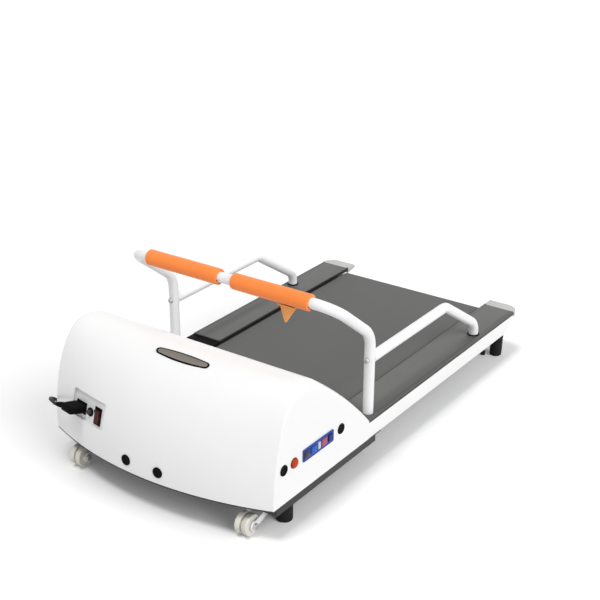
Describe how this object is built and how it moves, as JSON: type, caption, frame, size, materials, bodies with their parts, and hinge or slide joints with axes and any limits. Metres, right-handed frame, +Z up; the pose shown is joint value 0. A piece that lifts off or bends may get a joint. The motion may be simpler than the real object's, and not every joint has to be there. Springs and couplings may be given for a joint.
{
  "type": "dog treadmill",
  "caption": "Small dog treadmill: white motor hood with side controls, grey running belt between foot rails, orange padded handlebar and bent tube side rails",
  "frame": {"origin": "on the floor, under the middle of the machine's length and width", "axes": "+X towards the side with the control panel, -Y towards the hood's nose, +Z up"},
  "size_m": [0.6854, 1.0644, 0.407],
  "materials": {
    "white_shell": "gloss",
    "white_paint": "gloss",
    "grey_paint": "satin",
    "grey_plastic": "matte",
    "cap_grey": "satin",
    "dark_plastic": "matte",
    "black_plastic": "satin",
    "black_rubber": "matte",
    "belt_rubber": "matte",
    "deck_wood": "satin",
    "steel": "satin",
    "alloy": "satin",
    "motor_paint": "satin",
    "board_green": "satin",
    "orange_foam": "matte",
    "orange_strap": "matte",
    "panel_blue": "gloss",
    "key_blue": "gloss",
    "key_white": "gloss",
    "key_red": "gloss",
    "key_dark": "gloss",
    "stop_red": "gloss",
    "switch_red": "gloss",
    "wheel_cream": "satin",
    "cord_black": "satin"
  },
  "bodies": {
    "chassis": {"base_pan": "dark_plastic", "left_side_frame": "grey_paint", "right_side_frame": "grey_paint", "left_side_cover": "white_shell", "right_side_cover": "white_shell", "left_foot_rail": "grey_plastic", "right_foot_rail": "grey_plastic", "left_rail_front_plate": "black_plastic", "rear_end_caps": "cap_grey", "deck_board": "deck_wood", "deck_cushions": "black_rubber", "cross_members": "grey_paint", "running_belt": "belt_rubber", "front_axle": "steel", "rear_axle": "steel", "tension_bolts": "steel", "motor": "motor_paint", "motor_mount": "alloy", "drive_belt": "black_rubber", "control_board": "board_green", "heat_sink": "alloy", "hood": "white_shell", "hood_plugs": "black_plastic", "hood_badge": "alloy", "inlet_plate": "white_paint", "mains_inlet": "black_plastic", "breaker_body": "black_plastic", "switch_housing": "black_plastic", "control_panel": "panel_blue", "panel_board": "board_green", "stop_housing": "black_plastic", "handlebar": "white_paint", "left_side_rail": "white_paint", "right_side_rail": "white_paint", "left_grip": "orange_foam", "right_grip": "orange_foam", "tether_tab": "orange_strap", "handrail_bolts": "steel", "rail_collars": "black_plastic", "wheel_brackets": "white_paint", "wheel_axles": "steel", "rubber_feet": "black_rubber", "mains_connector": "black_plastic", "mains_cord": "cord_black", "cord_coil": "cord_black", "wall_plug": "black_plastic"},
    "front_roller_unit": {"front_roller": "steel", "roller_pulley": "dark_plastic"},
    "rear_roller_unit": {"rear_roller": "steel"},
    "motor_rotor": {"motor_shaft": "steel"},
    "left_wheel_unit": {"left_wheel": "wheel_cream"},
    "right_wheel_unit": {"right_wheel": "wheel_cream"},
    "rocker": {"rocker_switch": "switch_red"},
    "breaker_reset": {"breaker_button": "dark_plastic"},
    "key_blue_unit": {"blue_key": "key_blue"},
    "key_white_unit": {"white_key": "key_white"},
    "key_red_unit": {"red_key": "key_red"},
    "key_dark_unit": {"dark_key": "key_dark"},
    "stop_unit": {"stop_button": "stop_red"}
  },
  "joints": [
    {"name": "front_roller_spin", "type": "hinge", "parent": "chassis", "child": "front_roller_unit", "pos_m": [0, -0.25, 0.0869], "axis": [1, 0, 0], "continuous": true},
    {"name": "rear_roller_spin", "type": "hinge", "parent": "chassis", "child": "rear_roller_unit", "pos_m": [0, 0.477, 0.0869], "axis": [1, 0, 0], "continuous": true},
    {"name": "motor_spin", "type": "hinge", "parent": "chassis", "child": "motor_rotor", "pos_m": [0, -0.39, 0.106], "axis": [1, 0, 0], "continuous": true},
    {"name": "left_wheel_spin", "type": "hinge", "parent": "chassis", "child": "left_wheel_unit", "pos_m": [-0.213, -0.478, 0.024], "axis": [1, 0, 0], "continuous": true},
    {"name": "right_wheel_spin", "type": "hinge", "parent": "chassis", "child": "right_wheel_unit", "pos_m": [0.213, -0.478, 0.024], "axis": [1, 0, 0], "continuous": true},
    {"name": "rocker_tilt", "type": "hinge", "parent": "chassis", "child": "rocker", "pos_m": [-0.13275, -0.49861, 0.14952], "axis": [0.9805, -0.1963, 0], "range_deg": [-16, 0]},
    {"name": "breaker_push", "type": "slide", "parent": "chassis", "child": "breaker_reset", "axis": [0.1903, 0.9507, -0.2447], "range_m": [0, 0.003], "stiffness_N_per_m": 300, "springref_m": -0.002},
    {"name": "blue_key_push", "type": "slide", "parent": "chassis", "child": "key_blue_unit", "axis": [-1, 0, 0], "range_m": [0, 0.001], "stiffness_N_per_m": 400, "springref_m": -0.002},
    {"name": "white_key_push", "type": "slide", "parent": "chassis", "child": "key_white_unit", "axis": [-1, 0, 0], "range_m": [0, 0.001], "stiffness_N_per_m": 400, "springref_m": -0.002},
    {"name": "red_key_push", "type": "slide", "parent": "chassis", "child": "key_red_unit", "axis": [-1, 0, 0], "range_m": [0, 0.001], "stiffness_N_per_m": 400, "springref_m": -0.002},
    {"name": "dark_key_push", "type": "slide", "parent": "chassis", "child": "key_dark_unit", "axis": [-1, 0, 0], "range_m": [0, 0.001], "stiffness_N_per_m": 400, "springref_m": -0.002},
    {"name": "stop_push", "type": "slide", "parent": "chassis", "child": "stop_unit", "axis": [-1, 0, 0], "range_m": [0, 0.002], "stiffness_N_per_m": 400, "springref_m": -0.002}
  ],
  "couplings": [
    {"joint": "rear_roller_spin", "follows": "front_roller_spin", "ratio": 1},
    {"joint": "motor_spin", "follows": "front_roller_spin", "ratio": 2.5}
  ]
}
